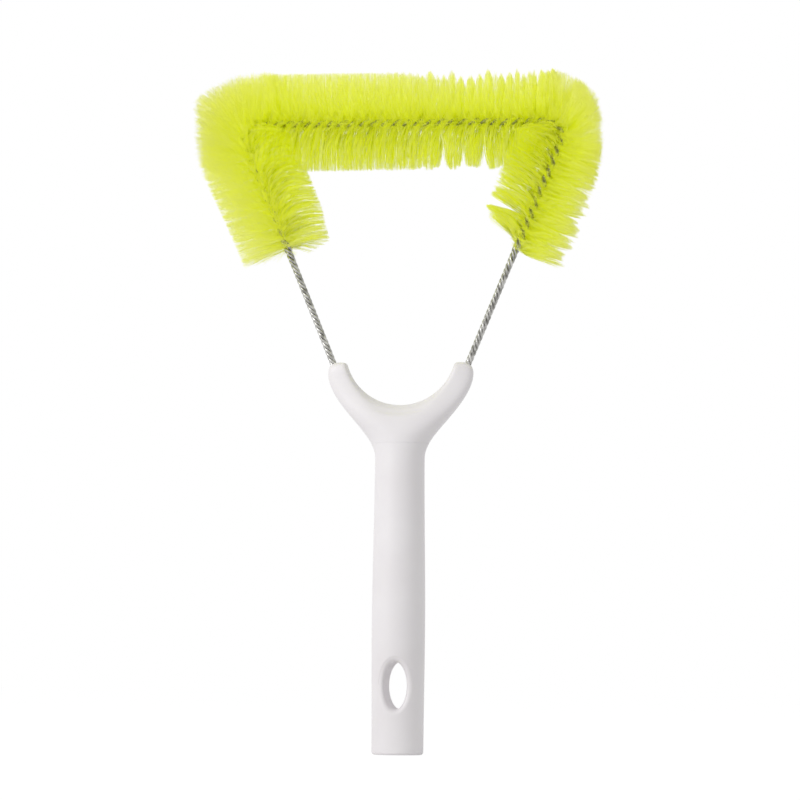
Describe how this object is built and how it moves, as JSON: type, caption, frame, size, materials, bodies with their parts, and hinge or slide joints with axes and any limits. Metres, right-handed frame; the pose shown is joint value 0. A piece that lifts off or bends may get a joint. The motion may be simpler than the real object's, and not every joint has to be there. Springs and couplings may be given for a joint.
{
  "type": "window cleaning brush",
  "caption": "Hand brush for windows: a moulded grip with a hang hole and a forked yoke hold a bent loop of twisted wire whose top and upper legs carry soft radial nylon bristles.",
  "frame": {"origin": "middle of the flat end face of the grip", "axes": "+Z along the handle from the grip's end to the brush, X across the wire loop, the front faces -Y"},
  "size_m": [0.1933, 0.0444, 0.3197],
  "materials": {
    "moulded_polypropylene": "white moulded polypropylene, satin",
    "galvanised_wire": "drawn and galvanised steel wire",
    "nylon_filament": "lime green nylon monofilament"
  },
  "bodies": {
    "root": {"grip": "moulded_polypropylene", "yoke": "moulded_polypropylene", "wire_strand_1": "galvanised_wire", "wire_strand_2": "galvanised_wire", "wire_strand_3": "galvanised_wire", "wire_strand_4": "galvanised_wire", "left_leg_bristles": "nylon_filament", "top_bar_bristles": "nylon_filament", "right_leg_bristles": "nylon_filament"}
  },
  "joints": []
}
